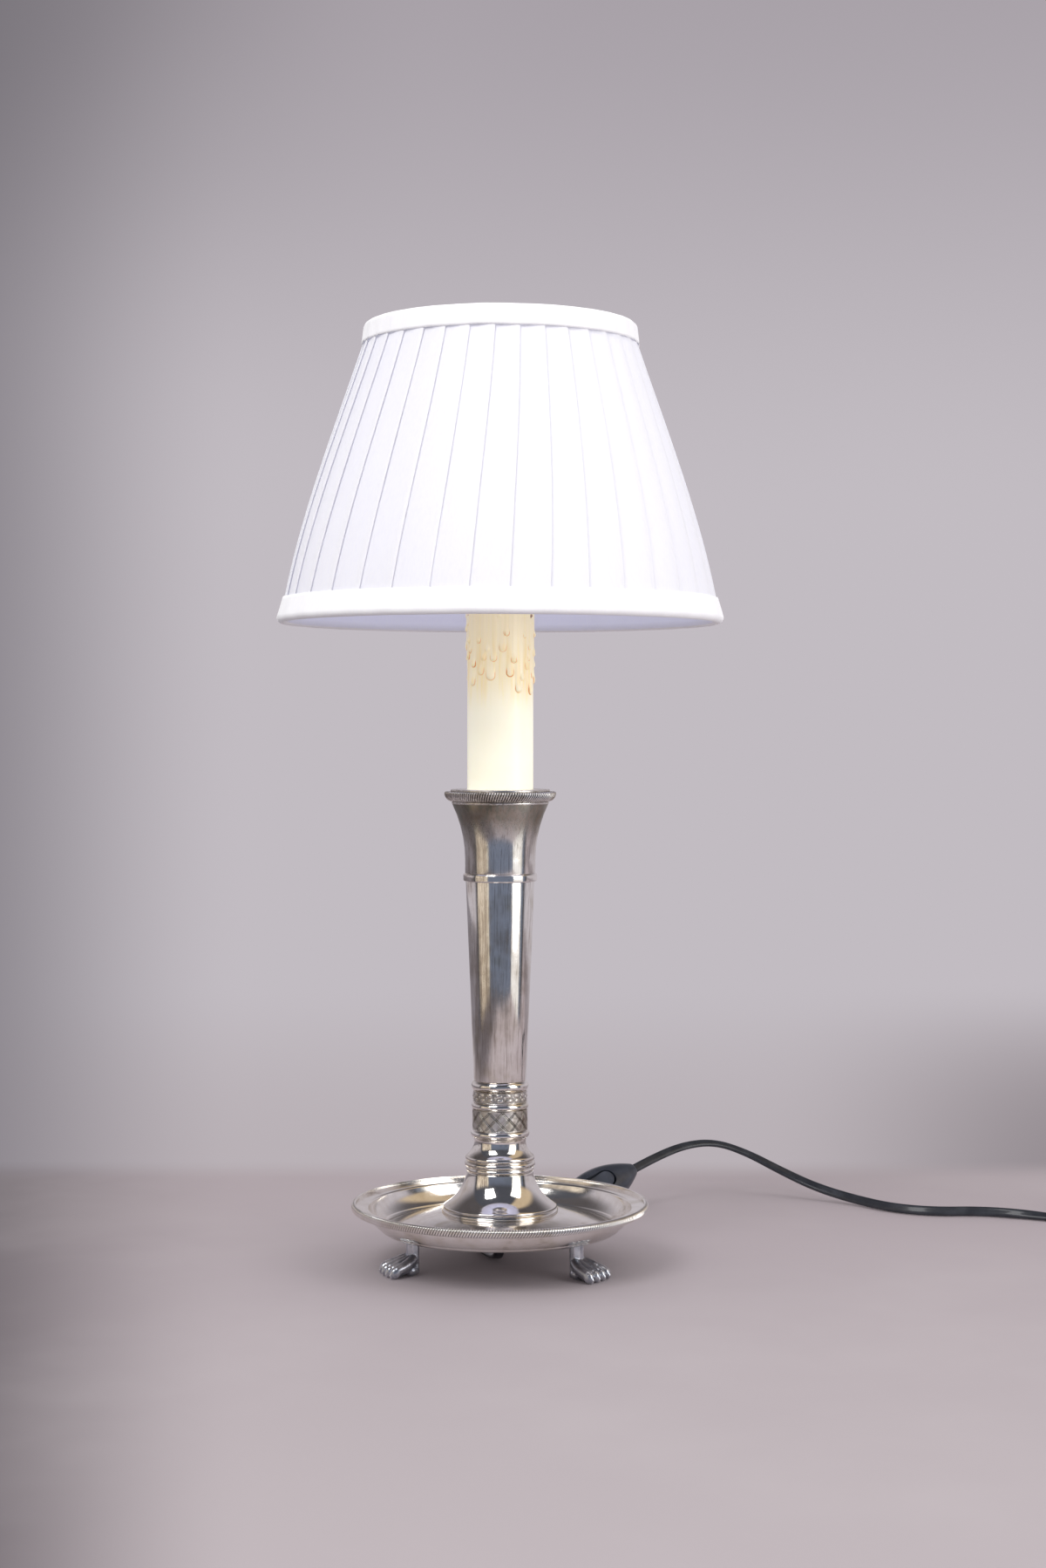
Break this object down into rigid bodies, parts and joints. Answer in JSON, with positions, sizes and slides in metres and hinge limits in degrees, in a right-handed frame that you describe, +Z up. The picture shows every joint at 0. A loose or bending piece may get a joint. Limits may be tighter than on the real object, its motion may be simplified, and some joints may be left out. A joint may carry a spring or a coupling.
{
  "type": "candlestick lamp",
  "caption": "Table lamp like a silver candlestick: footed drip tray, turned column, candle sleeve with bulb, pleated shade, black lead with switch and plug.",
  "frame": {"origin": "on the table under the column's axis, at the soles of the feet", "axes": "+Z up along the column; the pictured front is -Y, and the switch and plug lie towards +X"},
  "size_m": [0.5919, 0.4036, 0.5384],
  "materials": {
    "silver_plate": "tarnished silver plate, polished",
    "steel": "zinc plated",
    "holder_plastic": "moulded",
    "holder_ceramic": "glazed",
    "brass": "plain",
    "nickel": "nickel plated",
    "black_plastic": "glossy moulded",
    "black_lead": "smooth",
    "wire_cover": "smooth",
    "candle_ivory": "satin",
    "shade_cloth": "pleated cloth",
    "shade_lining": "smooth",
    "frame_white": "white paint",
    "bulb_metal": "plain",
    "bulb_glass": "frosted"
  },
  "bodies": {
    "stand": {"tray": "silver_plate", "tray_rope_border": "silver_plate", "paw_foot_left": "silver_plate", "paw_foot_right": "silver_plate", "paw_foot_rear": "silver_plate", "bell_step_ring": "silver_plate", "bell_base": "silver_plate", "base_knop": "silver_plate", "scotia_neck": "silver_plate", "lower_bead": "silver_plate", "lozenge_collar": "silver_plate", "middle_bead": "silver_plate", "leaf_collar": "silver_plate", "upper_bead": "silver_plate", "tapered_shaft": "silver_plate", "shaft_ring": "silver_plate", "flared_cup": "silver_plate", "drip_pan": "silver_plate", "drip_pan_rope_ring": "silver_plate", "threaded_rod": "steel", "base_washer": "steel", "base_nut": "steel", "column_nut": "steel", "holder_nut": "steel", "shaft_centring_disc": "steel", "holder_cap": "holder_plastic", "holder_skirt": "holder_plastic", "shade_ring": "holder_plastic", "sleeve_seat_ring": "holder_plastic", "holder_insert": "holder_ceramic", "screw_shell": "brass", "centre_contact": "brass", "terminal_screws": "brass", "switch_contacts": "brass", "plug_pins": "nickel", "switch_screws": "nickel", "switch_rocker_pin": "nickel", "switch_cover": "black_plastic", "switch_base": "black_plastic", "plug_body": "black_plastic", "plug_relief": "black_plastic", "cord_bushing": "black_plastic", "cord_lamp_to_switch": "black_lead", "cord_switch_to_coil": "black_lead", "cord_coil": "black_lead", "cord_coil_to_plug": "black_lead", "supply_wires": "wire_cover", "candle_sleeve": "candle_ivory"},
    "rocker": {"switch_rocker": "black_plastic"},
    "shade": {"shade_cover": "shade_cloth", "shade_foot_band": "shade_cloth", "shade_top_band": "shade_cloth", "shade_foot_wire": "frame_white", "shade_top_wire": "frame_white", "shade_struts": "frame_white", "shade_fitter": "frame_white", "shade_lining": "shade_lining"},
    "bulb_foot": {"bulb_tip": "bulb_metal"},
    "bulb": {"bulb_cap": "bulb_metal", "bulb_globe": "bulb_glass"}
  },
  "joints": [
    {"name": "switch_rock", "type": "hinge", "parent": "stand", "child": "rocker", "pos_m": [0.06236, 0.15252, 0.01736], "axis": [-0.6352, 0.4618, 0.6191], "range_deg": [0, 14]},
    {"name": "shade_turn", "type": "hinge", "parent": "stand", "child": "shade", "pos_m": [0, 0, 0.39], "axis": [0, 0, 1], "continuous": true},
    {"name": "bulb_rise", "type": "slide", "parent": "stand", "child": "bulb_foot", "axis": [0, 0, 1], "range_m": [0, 0.0091]},
    {"name": "bulb_turn", "type": "hinge", "parent": "bulb_foot", "child": "bulb", "pos_m": [0, 0, 0.38], "axis": [0, 0, 1], "range_deg": [0, 900]}
  ],
  "couplings": [
    {"joint": "bulb_rise", "follows": "bulb_turn", "m_per_rad": 0.00057757}
  ]
}
